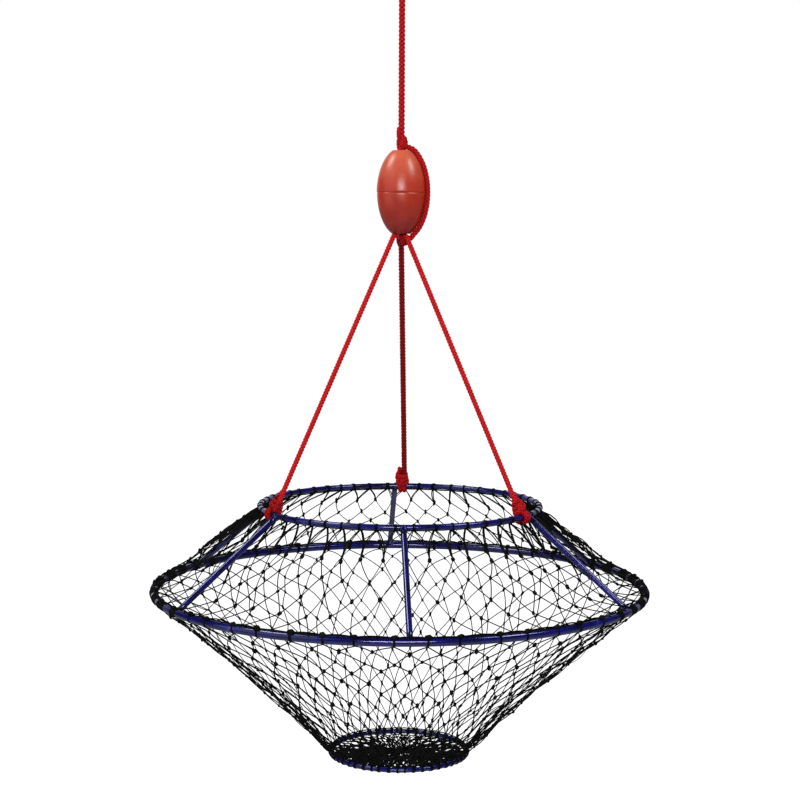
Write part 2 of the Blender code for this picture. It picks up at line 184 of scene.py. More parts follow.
def smooth_line(spots, step):
    """Evenly spaced points along a smooth curve through these spots."""
    spots = [Vector(spot) for spot in spots]
    ends = [2 * spots[0] - spots[1]] + spots + [2 * spots[-1] - spots[-2]]
    fine = []
    for before, start, end, after in zip(ends, ends[1:], ends[2:], ends[3:]):
        leave = start + (end - before) / 6
        arrive = end - (after - start) / 6
        fine += interpolate_bezier(start, leave, arrive, end, 33)[:-1]
    fine.append(spots[-1])
    length = sum((b - a).length for a, b in zip(fine, fine[1:]))
    count = max(2, round(length / step))
    line = [fine[0]]
    gone = 0
    wanted = length / count
    for a, b in zip(fine, fine[1:]):
        stretch = (b - a).length
        while stretch > 0 and gone + stretch >= wanted * len(line) - 1e-9 and len(line) < count:
            line.append(a.lerp(b, (wanted * len(line) - gone) / stretch))
        gone += stretch
    line.append(fine[-1])
    return line


def frames_along(line):
    """The way ahead and two sideways ways at each point of a line, turned as little as can be."""
    frames = []
    side = None
    for index in range(len(line)):
        ahead = (line[min(index + 1, len(line) - 1)] - line[max(index - 1, 0)]).normalized()
        if side is None:
            side = ahead.orthogonal()
        side = (side - side.dot(ahead) * ahead).normalized()
        frames.append((ahead, side, ahead.cross(side)))
    return frames


def strung(name, runs, diameter, sides_resolution=1):
    """A mesh of round strings: runs are lists of points, each with its own share of the diameter."""
    curve = bpy.data.curves.new(name, "CURVE")
    curve.dimensions = "3D"
    curve.bevel_depth = diameter / 2
    curve.bevel_resolution = sides_resolution
    curve.use_fill_caps = True
    for spots, thickness_share in runs:
        spline = curve.splines.new("POLY")
        spline.points.add(len(spots) - 1)
        for point, spot in zip(spline.points, spots):
            point.co = (*spot, 1)
            point.radius = thickness_share
    drawn = bpy.data.objects.new(name, curve)
    bpy.context.collection.objects.link(drawn)
    graph = bpy.context.evaluated_depsgraph_get()
    mesh = bpy.data.meshes.new_from_object(drawn.evaluated_get(graph))
    bpy.data.objects.remove(drawn)
    bm = bmesh.new()
    bm.from_mesh(mesh)
    bmesh.ops.remove_doubles(bm, verts=bm.verts, dist=0.000002)
    bm.to_mesh(mesh)
    bm.free()
    mesh.name = name
    made = bpy.data.objects.new(name, mesh)
    bpy.context.collection.objects.link(made)
    return made


def braided(name, spots, diameter, material, body, *replaced):
    """A braided cord along a smooth line: four yarns wind each way round a core, over and under."""
    yarns_each_way = 4
    lay = 2.9 * diameter
    yarn_diameter = 0.42 * diameter
    middle_radius = 0.32 * diameter
    rise_and_dip = 0.075 * diameter
    steps_in_lay = 6 * yarns_each_way
    line = smooth_line(spots, lay / steps_in_lay)
    frames = frames_along(line)
    runs = [(line, 1.3)]
    for way in (1, -1):
        for yarn in range(yarns_each_way):
            run = []
            for index, (spot, (ahead, side, up)) in enumerate(zip(line, frames)):
                turn = way * index * math.tau / steps_in_lay + yarn * math.tau / yarns_each_way
                out = middle_radius + way * rise_and_dip * math.cos(math.pi / 3 * index)
                run.append(spot + out * (math.cos(turn) * side + math.sin(turn) * up))
            runs.append((run, 1))
    made = strung(name, runs, yarn_diameter)
    length = sum((b - a).length for a, b in zip(line, line[1:]))
    for corner in made.data.uv_layers[0].data:
        corner.uv = (corner.uv[0] * math.pi * yarn_diameter, corner.uv[1] * length)
    nearest = KDTree(len(line))
    for index, spot in enumerate(line):
        nearest.insert(spot, index)
    nearest.balance()
    crown = made.data.attributes.new("crown", "FLOAT", "POINT")
    for corner, value in zip(made.data.vertices, crown.data):
        spot, index, _ = nearest.find(corner.co)
        ahead = frames[index][0]
        off = corner.co - spot
        value.value = (off - off.dot(ahead) * ahead).length / (diameter / 2)
        if index in (0, len(line) - 1):
            value.value = max(value.value, 0.95)
    made.data.materials.append(material)
    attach(made, body)
    if replaced:
        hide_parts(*replaced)
    return made, line


def shader_group(name, inputs, outputs):
    """An empty shader node group with these sockets, and its two end nodes."""
    group = bpy.data.node_groups.new(name, "ShaderNodeTree")
    for way, sockets in (("INPUT", inputs), ("OUTPUT", outputs)):
        for socket, kind in sockets.items():
            group.interface.new_socket(socket, in_out=way, socket_type=f"NodeSocket{kind}")
    return group, group.nodes.new("NodeGroupInput"), group.nodes.new("NodeGroupOutput")


def placed(nodes, group, **values):
    """A node group placed in a material with its own values."""
    node = nodes.new("ShaderNodeGroup")
    node.node_tree = group
    return set_inputs(node, **values)


grained, given, put_out = shader_group(
    "grained",
    {"Vector": "Vector", "Scale": "Float", "Detail": "Float", "Strength": "Float", "Distance": "Float"},
    {"Value": "Float", "Normal": "Vector"},
)
links = grained.links
grain = grained.nodes.new("ShaderNodeTexNoise")
relief = grained.nodes.new("ShaderNodeBump")
for socket in ("Vector", "Scale", "Detail"):
    links.new(given.outputs[socket], grain.inputs[socket])
for socket in ("Strength", "Distance"):
    links.new(given.outputs[socket], relief.inputs[socket])
links.new(grain.outputs[0], relief.inputs["Height"])
links.new(grain.outputs[0], put_out.inputs["Value"])
links.new(relief.outputs[0], put_out.inputs["Normal"])

worn_and_groove_shaded_yarn, given, put_out = shader_group(
    "worn_and_groove_shaded_yarn",
    {
        "Crown": "Float",
        "Threads": "Float",
        "Patches": "Float",
        "Deep": "Color",
        "Dyed": "Color",
        "Worn": "Color",
    },
    {"Color": "Color"},
)
nodes = worn_and_groove_shaded_yarn.nodes
links = worn_and_groove_shaded_yarn.links
# A low crown, deep in the grooves between yarns, pulls the colour to the deep colour: painted shade in
# the grooves, and soiled dark patches where the patches are low.
height = set_inputs(nodes.new("ShaderNodeMapRange"), From_Min=0.76, From_Max=1.20)
height.clamp = False
with_threads = math_node(nodes, "MULTIPLY_ADD", 0.55)
with_patches = math_node(nodes, "MULTIPLY_ADD", 0.5)
out_of_groove = set_inputs(nodes.new("ShaderNodeMapRange"), From_Min=0.5, From_Max=1.12)
onto_crown = set_inputs(nodes.new("ShaderNodeMapRange"), From_Min=1.12, From_Max=1.5)
low_mix = nodes.new("ShaderNodeMix")
low_mix.data_type = "RGBA"
high_mix = nodes.new("ShaderNodeMix")
high_mix.data_type = "RGBA"
links.new(given.outputs["Crown"], height.inputs["Value"])
links.new(given.outputs["Threads"], with_threads.inputs[0])
links.new(height.outputs[0], with_threads.inputs[2])
links.new(given.outputs["Patches"], with_patches.inputs[0])
links.new(with_threads.outputs[0], with_patches.inputs[2])
links.new(with_patches.outputs[0], out_of_groove.inputs["Value"])
links.new(with_patches.outputs[0], onto_crown.inputs["Value"])
links.new(out_of_groove.outputs[0], low_mix.inputs["Factor"])
links.new(given.outputs["Deep"], low_mix.inputs["A"])
links.new(given.outputs["Dyed"], low_mix.inputs["B"])
links.new(onto_crown.outputs[0], high_mix.inputs["Factor"])
links.new(low_mix.outputs["Result"], high_mix.inputs["A"])
links.new(given.outputs["Worn"], high_mix.inputs["B"])
links.new(high_mix.outputs["Result"], put_out.inputs["Color"])


def cord_material(name, colour):
    """Dyed polypropylene yarn: fine threads along each yarn, with worn pale and soiled dark places, and
    painted shade darkening the grooves between yarns.
    """
    material, nodes, links, shader = new_material(name)
    places = nodes.new("ShaderNodeTexCoord")
    threads_map = set_inputs(nodes.new("ShaderNodeMapping"), Scale=(2600, 160, 1))
    threads = placed(nodes, grained, Scale=1, Detail=3, Strength=0.5, Distance=0.0003)
    patches = set_inputs(nodes.new("ShaderNodeTexNoise"), Scale=190, Detail=4)
    crown = nodes.new("ShaderNodeAttribute")
    crown.attribute_name = "crown"
    red, green, blue = colour
    # The deep colour is painted shade for the grooves between yarns, and the dark of soiled patches.
    yarn = placed(
        nodes,
        worn_and_groove_shaded_yarn,
        Deep=(0.07 * red, 0.07 * green, 0.07 * blue, 1),
        Dyed=(red, green, blue, 1),
        Worn=(1.3 * red, 1.6 * green + 0.003, 1.6 * blue + 0.003, 1),
    )
    links.new(places.outputs["UV"], threads_map.inputs["Vector"])
    links.new(threads_map.outputs[0], threads.inputs["Vector"])
    links.new(places.outputs["Object"], patches.inputs["Vector"])
    links.new(crown.outputs["Fac"], yarn.inputs["Crown"])
    links.new(threads.outputs["Value"], yarn.inputs["Threads"])
    links.new(patches.outputs[0], yarn.inputs["Patches"])
    links.new(yarn.outputs["Color"], shader.inputs["Base Color"])
    links.new(threads.outputs["Normal"], shader.inputs["Normal"])
    set_inputs(shader, Roughness=0.5, Specular_IOR_Level=0.08)
    return material


red_cord = cord_material("red_cord_yarn", red_cord_colour)
# A darker copy of the red cord: painted shade for the pull rope, its eye and knots, the side strand and
# the right and back hitches.
shaded_cord = cord_material("red_cord_yarn_painted_shade", (0.45, 0.006, 0.009))
# A still darker copy of the red cord: painted shade for the left hitch.
left_hitch_shade_cord = cord_material("red_cord_yarn_painted_deeper_shade", (0.32, 0.004, 0.006))
# The darkest copy of the red cord: painted shade for the bridle knot under the float and for the back
# leg.
deepest_shade_cord = cord_material("red_cord_yarn_painted_deepest_shade", (0.26, 0.004, 0.006))

pull_rope_low = -0.2807
pull_rope_end = -0.2925
pull_rope_step = 0.02184
pull_rope_route = [(0, 0, pull_rope_end)]
pull_rope_route += [(0, 0, pull_rope_low + pull_rope_step * index) for index in range(11)]
pull_rope, pull_rope_line = braided(
    "pull_rope_braid", pull_rope_route, pull_rope_diameter, shaded_cord, "line", "pull_rope"
)

# The hanging eye: the pull rope's own end, turned back into a loop and seized under it with three
# round turns, so that a hook or a hand can take it.

eye_knot_z = -0.050
eye_knot_radius = 0.0073
eye_knot_pitch = 0.0071
eye_knot_cord = 0.0066
eye_neck_z = -0.039087
eye_neck_half_width = 0.0049
eye_bulge = 0.0124
eye_rise = 0.043687
eye_route = []
for index in range(23):
    turn = math.tau * index / 22
    out = eye_neck_half_width * math.cos(turn / 2)
    out += eye_bulge * math.sin(turn) * math.sin(turn / 2)
    eye_route.append((out, 0, eye_neck_z + eye_rise * (1 - math.cos(turn)) / 2))
hanging_eye, _ = braided(
    "hanging_eye_braid", eye_route, pull_rope_diameter, shaded_cord, "line", "hanging_eye"
)


def turns_round(middle, axis, radius, pitch, turns, start=0.0):
    """The points of a winding round an axis, ten in each turn."""
    axis = Vector(axis).normalized()
    side = axis.orthogonal().normalized()
    if abs(axis.z) > 0.7:
        side = (Vector((0, -1, 0)) + axis.y * axis).normalized()
    up = axis.cross(side)
    count = round(10 * turns)
    points = []
    for index in range(count + 1):
        angle = start + index * math.tau / 10
        along = pitch * (index / 10 - turns / 2)
        out = radius * (math.cos(angle) * side + math.sin(angle) * up)
        points.append(Vector(middle) + along * axis + out)
    return points


eye_knot_route = turns_round(
    (0, 0, eye_knot_z), (0, 0.1, 1), eye_knot_radius, eye_knot_pitch, 2.3, start=0.4
)
eye_knot, _ = braided(
    "eye_knot_braid", eye_knot_route, eye_knot_cord, shaded_cord, "line", "eye_knot"
)

# The stopper knot: an overhand knot in the pull rope, pulled tight, too big for the float's bore.

stopper_knot_z = -0.2945
stopper_half_width = 0.0060
stopper_half_height = 0.0088
stopper_cord = 0.0072
stopper_tail_cord = 0.0056


def overhand(middle, across, rise, lean=0.0, start=0.0):
    """The points of a closed overhand knot, drawn in to this half width and half height."""
    points = []
    for index in range(37):
        turn = start + math.tau * index / 36
        x = (math.sin(turn) + 2 * math.sin(2 * turn)) / 3
        y = (math.cos(turn) - 2 * math.cos(2 * turn)) / 3
        z = -math.sin(3 * turn)
        points.append(Vector(middle) + Vector((across * x, across * y, rise * z + lean * x)))
    return points


braided(
    "stopper_knot_braid",
    overhand(
        (0.0012, 0, stopper_knot_z), stopper_half_width, stopper_half_height, lean=0.003, start=0.3
    ),
    stopper_cord,
    shaded_cord,
    "line",
    "stopper_knot",
)
stopper_tail_route = [
    (-0.0020, -0.0010, stopper_knot_z + 0.002),
    (-0.0046, -0.0030, stopper_knot_z + 0.010),
    (-0.0050, -0.0034, stopper_knot_z + 0.019),
    (-0.0042, -0.0032, stopper_knot_z + 0.026),
]
braided("stopper_knot_tail", stopper_tail_route, stopper_tail_cord, shaded_cord, "line")

# The float: an egg of orange-red plastic, moulded in two halves and welded round its middle, where
# the upper half's lip stands a little proud. A bore runs through it for the cord.

float_middle_z = -0.371612
float_half_length = 0.0668
float_radius = 0.0392
float_egg_half_height = 0.07177
float_bore_radius = 0.006
bore_edge_radius = 0.0066
seam_lip = 0.0005
seam_spread = 0.012
seam_tilt = 0.0005
seam_ripple = 0.0002
end_round = 0.0016

steepest = math.asin(float_half_length / float_egg_half_height)
outline = [
    (float_bore_radius, -float_half_length + end_round),
    (bore_edge_radius, -float_half_length),
]
for index in range(37):
    rise = steepest * (index / 36 - 1)
    outline.append((float_radius * math.cos(rise), float_egg_half_height * math.sin(rise)))
outline[-1] = (float_radius - seam_lip, -0.0004)
outline += [(float_radius - 2.2 * seam_lip, -0.0001), (float_radius - 2.2 * seam_lip, 0.0001)]
outline += [(float_radius + 0.4 * seam_lip, 0.0002), (float_radius + seam_lip, 0.0008)]
for index in range(1, 37):
    rise = steepest * index / 36
    outline.append(
        (
            float_radius * math.cos(rise) + seam_lip * (1 - index / 36),
            float_egg_half_height * math.sin(rise),
        )
    )
outline += [
    (bore_edge_radius, float_half_length),
    (float_bore_radius, float_half_length - end_round),
]

bm = bmesh.new()
corners = [bm.verts.new((radius, 0, height)) for radius, height in outline]
edges = [bm.edges.new(pair) for pair in zip(corners, corners[1:] + corners[:1])]
bmesh.ops.spin(
    bm,
    geom=corners + edges,
    cent=(0, 0, 0),
    axis=(0, 0, 1),
    angle=math.tau,
    steps=96,
    use_merge=True,
)
bmesh.ops.remove_doubles(bm, verts=bm.verts, dist=0.00001)
for corner in bm.verts:
    near_seam = max(0.0, 1 - abs(corner.co.z) / seam_spread)
    round_angle = math.atan2(corner.co.y, corner.co.x)
    corner.co.z += near_seam * seam_tilt * math.sin(round_angle - 0.5)
    corner.co.z += near_seam * seam_ripple * math.sin(7 * round_angle)
bmesh.ops.translate(bm, vec=(0, 0, float_middle_z), verts=bm.verts)
bmesh.ops.recalc_face_normals(bm, faces=bm.faces)
float_shell = object_from(bm, "float_shell")
float_shell.data.shade_smooth()


def colours_between(nodes, *stops):
    """A colour ramp node with these colours, each at its place along it."""
    ramp = nodes.new("ShaderNodeValToRGB")
    elements = ramp.color_ramp.elements
    for end in (0, -1):
        elements[end].position = stops[end][0]
        elements[end].color = (*stops[end][1], 1)
    for place, colour in stops[1:-1]:
        elements.new(place).color = (*colour, 1)
    return ramp


float_plastic, nodes, links, shader = new_material("float_plastic_moulded")
places = nodes.new("ShaderNodeTexCoord")
apart = nodes.new("ShaderNodeSeparateXYZ")
height = nodes.new("ShaderNodeMapRange")
set_inputs(height, From_Min=float_middle_z - 0.060, From_Max=float_middle_z + 0.075)
clouds = placed(nodes, grained, Scale=55, Detail=5, Strength=0.30, Distance=0.0010)
scuffs = set_inputs(nodes.new("ShaderNodeTexNoise"), Scale=420, Detail=6)
shift = math_node(nodes, "MULTIPLY_ADD", 0.35)
# The colour runs by height, from dark at the bottom to light at the top: painted light and shade for
# light falling from above, over the float's own orange-red.
painted_light_top = (0.60, 0.108, 0.050)
dyed_middle = (0.48, 0.034, 0.010)
painted_shade_low = (0.24, 0.003, 0.001)
tones = colours_between(nodes, (0.12, painted_shade_low), (0.70, dyed_middle), (1.0, painted_light_top))
scuffed = set_inputs(nodes.new("ShaderNodeMapRange"), To_Min=0.24, To_Max=0.38)
links.new(places.outputs["Object"], apart.inputs[0])
links.new(apart.outputs["Z"], height.inputs["Value"])
links.new(places.outputs["Object"], clouds.inputs["Vector"])
links.new(places.outputs["Object"], scuffs.inputs["Vector"])
links.new(clouds.outputs["Value"], shift.inputs[0])
links.new(height.outputs[0], shift.inputs[2])
links.new(shift.outputs[0], tones.inputs["Fac"])
links.new(tones.outputs[0], shader.inputs["Base Color"])
links.new(scuffs.outputs[0], scuffed.inputs["Value"])
links.new(scuffed.outputs[0], shader.inputs["Roughness"])
links.new(clouds.outputs["Normal"], shader.inputs["Normal"])
set_inputs(shader, Specular_IOR_Level=0.60)
float_shell.data.materials.append(float_plastic)
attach(float_shell, "float")
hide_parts("float")

# The float's cord and the side strand: the rope's two parts under the stopper knot. One goes down
# the bore, and the other passes outside the float on its right.

float_cord_diameter = 0.0078
float_cord_low = -0.436673
float_cord_step = 0.0256746
float_cord_route = [(0, 0, float_cord_low + float_cord_step * index) for index in range(6)]
float_cord, float_cord_line = braided(
    "float_cord_braid", float_cord_route, float_cord_diameter, red_cord, "line", "float_cord"
)

strand_over_yarns = 0.0080
strand_off = 0.0041
strand_turn = math.radians(-12)
strand_route = [(0.0045, 0, 0.0735), (0.0115, 0, 0.0716)]
for index in range(13):
    rise = math.radians(64) * (1 - index / 6)
    radius = float_radius * math.cos(rise)
    height = float_egg_half_height * math.sin(rise)
    way = Vector((radius / float_radius**2, 0, height / float_egg_half_height**2)).normalized()
    off = strand_off + 0.0006 * max(0, -math.sin(rise))
    strand_route.append((radius + off * way.x, 0, height + off * way.z))
strand_route += [(0.0168, 0, -0.0728), (0.0085, 0, -0.0760)]
strand_route = [
    (x * math.cos(strand_turn), x * math.sin(strand_turn), z + float_middle_z)
    for x, _, z in strand_route
]
side_strand, strand_line = braided(
    "side_strand_braid", strand_route, strand_over_yarns, shaded_cord, "line", "side_strand"
)

# The bridle knot: the three legs' cords, the float's cord and the side strand, knotted together
# close under the float.

bridle_knot_z = -0.448473
bridle_knot_half_width = 0.0062
bridle_knot_half_height = 0.0066
bridle_knot_cord = 0.0076
# The knot under the float is painted in the darkest shade of the cord.
braided(
    "bridle_knot_braid",
    overhand(
        (0.0020, -0.0010, bridle_knot_z - 0.0002),
        bridle_knot_half_width,
        bridle_knot_half_height,
        lean=0.002,
        start=1.0,
    ),
    bridle_knot_cord,
    deepest_shade_cord,
    "bridle_knot",
    "bridle_knot",
)

# The bridle's three legs: lengths of the same braided cord, drawn taut from the knot down to the
# top hoop, where each is hitched beside a strut.

leg_diameter = 0.0075
leg_angles = {"right": -32.08, "back": 87.92, "left": -152.08}
leg_shoulders = {"right": 0.0160, "back": 0.0125, "left": 0.0195}
leg_top_z = -0.45425
leg_low = (0.2100, -0.84838)
leg_end = 0.019
leg_climbs = (0.0070, 0.0128)
leg_bend_in = 0.0082
leg_bend_z = -0.4412
leg_in_knot = ((0.0046, -0.4430), (0.0008, -0.4466))
back_leg_share = 1.14
leg_lines = {}


def outward(degrees):
    """The level way out from the net's middle at this angle."""
    angle = math.radians(degrees)
    return Vector((math.cos(angle), math.sin(angle), 0))


for leg, degrees in leg_angles.items():
    out = outward(degrees)
    top = out * leg_shoulders[leg] + Vector((0, 0, leg_top_z))
    low = out * leg_low[0] + Vector((0, 0, leg_low[1]))
    climb = (top - low).normalized()
    route = [low - climb * leg_end]
    route += [low.lerp(top, index / 15) for index in range(16)]
    route += [top + climb * rise for rise in leg_climbs]
    route += [out * (leg_shoulders[leg] - leg_bend_in) + Vector((0, 0, leg_bend_z))]
    route += [out * reach + Vector((0, 0, height)) for reach, height in leg_in_knot]
    # The back leg is painted in the darkest shade of the cord; the other legs keep the plain red.
    material = deepest_shade_cord if leg == "back" else red_cord
    drawn = leg_diameter * (back_leg_share if leg == "back" else 1)
    made, line = braided(
        f"bridle_leg_{leg}_braid", route, drawn, material, "cage", f"bridle_leg_{leg}"
    )
    leg_lines[leg] = (low, top)

# The hitches: each leg's end takes two turns round the top hoop and is tied back on its own leg,
# with a short tail left standing beside the leg.

top_hoop_radius = 0.2275
top_hoop_z = -0.880473
top_rod_radius = 0.00475
hitch_shift = {"right": 0.0, "back": 0.0045, "left": 0.0}
hitch_taper = {"right": 0.0046, "back": 0.0026, "left": 0.0056}
hitch_way = {"right": 1, "back": 0.6, "left": -1}
hitch_cord = 0.0070
hitch_turns_cord = 0.0068
hitch_turns_pitch = 0.0066
hitch_half_width = 0.0094
hitch_foot = 0.0095
hitch_rise = 0.0068
hitch_tail = ((0.0310, 0.0064, 0.002), (0.0350, 0.0060, 0.002), (0.0400, 0.0066, 0.003))
crossing_rise = 0.0130
crossing_half_width = 0.0078
crossing_half_height = 0.0050
for leg, (low, top) in leg_lines.items():
    out = outward(leg_angles[leg])
    along = Vector((-out.y, out.x, 0))
    rod = out * top_hoop_radius + Vector((0, 0, top_hoop_z)) + along * hitch_shift[leg]
    climb = (top - low).normalized()
    # The hitches take painted shade: the left one a darker copy of the cord than the others.
    material = left_hitch_shade_cord if leg == "left" else shaded_cord
    way = hitch_way[leg]
    turns_radius = top_rod_radius + hitch_turns_cord / 2
    turns = turns_round(rod, along, turns_radius, hitch_turns_pitch, 2.3, start=2.4)
    braided(f"hitch_{leg}_turns", turns, hitch_turns_cord, material, "cage", f"hitch_{leg}")
    side = climb.cross(along).normalized()
    route = []
    for index in range(27):
        turn = 0.4 + index * math.tau / 10
        rise = hitch_foot + hitch_rise * index / 10
        wide = hitch_half_width - hitch_taper[leg] * index / 26
        lean = 0.45 * wide * math.cos(turn) * way
        route.append(
            rod + climb * (rise + lean) + wide * (math.cos(turn) * along + math.sin(turn) * side)
        )
    for rise, aside, off in hitch_tail:
        route.append(rod + climb * rise + along * aside * way + side * off)
    braided(f"hitch_{leg}_knot", route, hitch_cord, material, "cage")
    middle = rod + climb * crossing_rise - out * 0.001
    route = overhand(middle, crossing_half_width, crossing_half_height, lean=0.003, start=2.0)
    braided(f"hitch_{leg}_crossing", route, hitch_turns_cord, material, "cage")

# The hoops: steel rod rolled to rings, butt welded, ground and painted a glossy dark blue. The main
# hoop is the thickest, the bait ring the thinnest.

main_hoop_radius = 0.400
main_hoop_z = -1.016473
main_rod_radius = 0.00635
bait_ring_radius = 0.112
bait_ring_z = -1.290473
bait_rod_radius = 0.004

blue_paint, nodes, links, shader = new_material("blue_paint_gloss")
places = nodes.new("ShaderNodeTexCoord")
runs_in_paint = placed(nodes, grained, Scale=150, Detail=5, Strength=0.10, Distance=0.0012)
thin_spots = set_inputs(nodes.new("ShaderNodeTexNoise"), Scale=38, Detail=8, Roughness=0.65)
thick_paint = (0.002, 0.002, 0.026)
thin_paint = (0.005, 0.006, 0.145)
tones = colours_between(nodes, (0.36, thick_paint), (0.62, thin_paint))
chips = set_inputs(nodes.new("ShaderNodeMapRange"), From_Min=0.665, From_Max=0.690)
bare = nodes.new("ShaderNodeMix")
bare.data_type = "RGBA"
bare.inputs["B"].default_value = (0.06, 0.05, 0.20, 1)
rough = set_inputs(nodes.new("ShaderNodeMapRange"), To_Min=0.05, To_Max=0.20)
links.new(places.outputs["Object"], runs_in_paint.inputs["Vector"])
links.new(places.outputs["Object"], thin_spots.inputs["Vector"])
links.new(thin_spots.outputs[0], tones.inputs["Fac"])
links.new(thin_spots.outputs[0], chips.inputs["Value"])
links.new(chips.outputs[0], bare.inputs["Factor"])
links.new(tones.outputs[0], bare.inputs["A"])
links.new(bare.outputs["Result"], shader.inputs["Base Color"])
links.new(runs_in_paint.outputs["Value"], rough.inputs["Value"])
links.new(rough.outputs[0], shader.inputs["Roughness"])
links.new(runs_in_paint.outputs["Normal"], shader.inputs["Normal"])
set_inputs(shader, Specular_IOR_Level=1.0, Specular_Tint=(0.70, 0.70, 1.0, 1))


def hoop_rod(name, radius, rod_radius, height, steps, body, node):
    """A rolled ring of round rod, turned from its section."""
    bm = bmesh.new()
    section = bmesh.ops.create_circle(bm, segments=20, radius=rod_radius)
    upright = Matrix.Translation((radius, 0, height)) @ Matrix.Rotation(math.radians(90), 4, "X")
    bmesh.ops.transform(bm, matrix=upright, verts=section["verts"])
    bmesh.ops.spin(
        bm,
        geom=list(bm.verts) + list(bm.edges),
        cent=(0, 0, 0),
        axis=(0, 0, 1),
        angle=math.tau,
        steps=steps,
        use_merge=True,
    )
    bmesh.ops.remove_doubles(bm, verts=bm.verts, dist=0.00001)
    bmesh.ops.recalc_face_normals(bm, faces=bm.faces)
    made = object_from(bm, name)
    made.data.shade_smooth()
    made.data.materials.append(blue_paint)
    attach(made, body)
    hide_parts(node)


hoop_rod("main_hoop_rod", main_hoop_radius, main_rod_radius, main_hoop_z, 240, "cage", "main_hoop")
hoop_rod("top_hoop_rod", top_hoop_radius, top_rod_radius, top_hoop_z, 180, "cage", "top_hoop")
hoop_rod(
    "bait_ring_rod", bait_ring_radius, bait_rod_radius, bait_ring_z, 120, "bait_ring_set", "bait_ring"
)

# The struts: six straight rods welded between the top hoop and the main hoop, each with a rippled
# bead of weld round both its ends, painted over with the rest of the frame. Three of their ends
# are a little off their even places.

strut_radius = 0.00475
strut_shift = 0.0032
weld_bead = 0.0036
strut_angles = {
    "front": -87.8,
    "front_right": -27.8,
    "back_right": 32.2,
    "back": 92.2,
    "back_left": 152.2,
    "front_left": -147.8,
}


def off_rod(spot, radius, height):
    """How far a spot is from a hoop's centre line."""
    return math.hypot(math.hypot(spot.x, spot.y) - radius, spot.z - height)


def weld_seat(start, way, hoop_radius, rod_radius, height):
    """The first spot along this way, from inside a hoop's rod, that is on the rod's surface."""
    near = 0.0
    far = 0.03
    for _ in range(24):
        middle = (near + far) / 2
        if off_rod(start + middle * way, hoop_radius, height) < rod_radius:
            near = middle
        else:
            far = middle
    return start + near * way


random.seed(11)
for strut, degrees in strut_angles.items():
    out = outward(degrees)
    sideways = Vector((-out.y, out.x, 0))
    top = out * top_hoop_radius + Vector((0, 0, top_hoop_z))
    low = out * main_hoop_radius + Vector((0, 0, main_hoop_z))
    if strut == "front":
        top -= sideways * strut_shift
    elif strut == "back":
        low += sideways * strut_shift
    elif strut == "front_left":
        low -= sideways * strut_shift
    down = (low - top).normalized()
    across = down.cross(out).normalized()
    over = across.cross(down)
    bm = bmesh.new()
    length = (low - top).length
    bmesh.ops.create_cone(
        bm, cap_ends=True, segments=20, radius1=strut_radius, radius2=strut_radius, depth=length
    )
    lengthwise = [edge for edge in bm.edges if edge.calc_length() > length / 2]
    bmesh.ops.subdivide_edges(bm, edges=lengthwise, cuts=12)
    turn = Vector((0, 0, 1)).rotation_difference(down).to_matrix().to_4x4()
    bmesh.ops.transform(bm, matrix=Matrix.Translation((top + low) / 2) @ turn, verts=bm.verts)
    rod = object_from(bm, f"strut_{strut}_rod")
    rod.data.shade_smooth()
    rod.data.materials.append(blue_paint)
    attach(rod, "cage")
    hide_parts(f"strut_{strut}")
    beads = []
    for start, way, hoop_radius, rod_radius, height in (
        (top, down, top_hoop_radius, top_rod_radius, top_hoop_z),
        (low, -down, main_hoop_radius, main_rod_radius, main_hoop_z),
    ):
        for ring, (reach, share) in enumerate(((0.0, 1.0), (0.0016, 0.72))):
            bead = []
            for index in range(41):
                angle = index * math.tau / 40
                side = math.cos(angle) * across + math.sin(angle) * over
                seat = weld_seat(start + side * strut_radius, way, hoop_radius, rod_radius, height)
                ripple = 0.00035 * math.sin(13 * angle + ring) + random.uniform(-0.0001, 0.0001)
                bead.append(seat + way * reach + side * ripple)
            bead[-1] = bead[0]
            beads.append((bead, share))
    weld = strung(f"strut_{strut}_welds", beads, weld_bead, 2)
    weld.data.materials.append(blue_paint)
    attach(weld, "cage")

# The lashings: tarred black nylon twine, twisted of three strands. Each mesh's edge is seized to its
# hoop with a collar of a few turns and a knot on top, and the twine runs on to the next collar.

twine_diameter = 0.0019
meshes_round = 50
unevenness = 0.12

black_twine, nodes, links, shader = new_material("black_twine_tarred")
places = nodes.new("ShaderNodeTexCoord")
fibres = placed(nodes, grained, Scale=1400, Detail=3, Strength=0.6, Distance=0.0003)
dust = set_inputs(nodes.new("ShaderNodeTexNoise"), Scale=45, Detail=4)
tarred = (0.0020, 0.0020, 0.0020)
dusty = (0.010, 0.010, 0.009)
tones = colours_between(nodes, (0.35, tarred), (0.75, dusty))
links.new(places.outputs["Object"], fibres.inputs["Vector"])
links.new(places.outputs["Object"], dust.inputs["Vector"])
links.new(dust.outputs[0], tones.inputs["Fac"])
links.new(tones.outputs[0], shader.inputs["Base Color"])
links.new(fibres.outputs["Normal"], shader.inputs["Normal"])
set_inputs(shader, Roughness=0.68, Specular_IOR_Level=0.06)


def tied_lumps(mesh, lumps):
    """Adds knots to a mesh of strings: lumps are (middle, long way, half length, half thickness)."""
    bm = bmesh.new()
    bm.from_mesh(mesh)
    for middle, way, half_length, half_thickness in lumps:
        turn = Vector((0, 0, 1)).rotation_difference(way).to_matrix().to_4x4()
        twist = Matrix.Rotation(random.uniform(0, math.tau), 4, "Z")
        size = Matrix.Diagonal((half_thickness, half_thickness, half_length, 1))
        bmesh.ops.create_icosphere(
            bm, subdivisions=1, radius=1, matrix=Matrix.Translation(middle) @ turn @ size @ twist
        )
    bm.to_mesh(mesh)
    bm.free()
    mesh.shade_smooth()


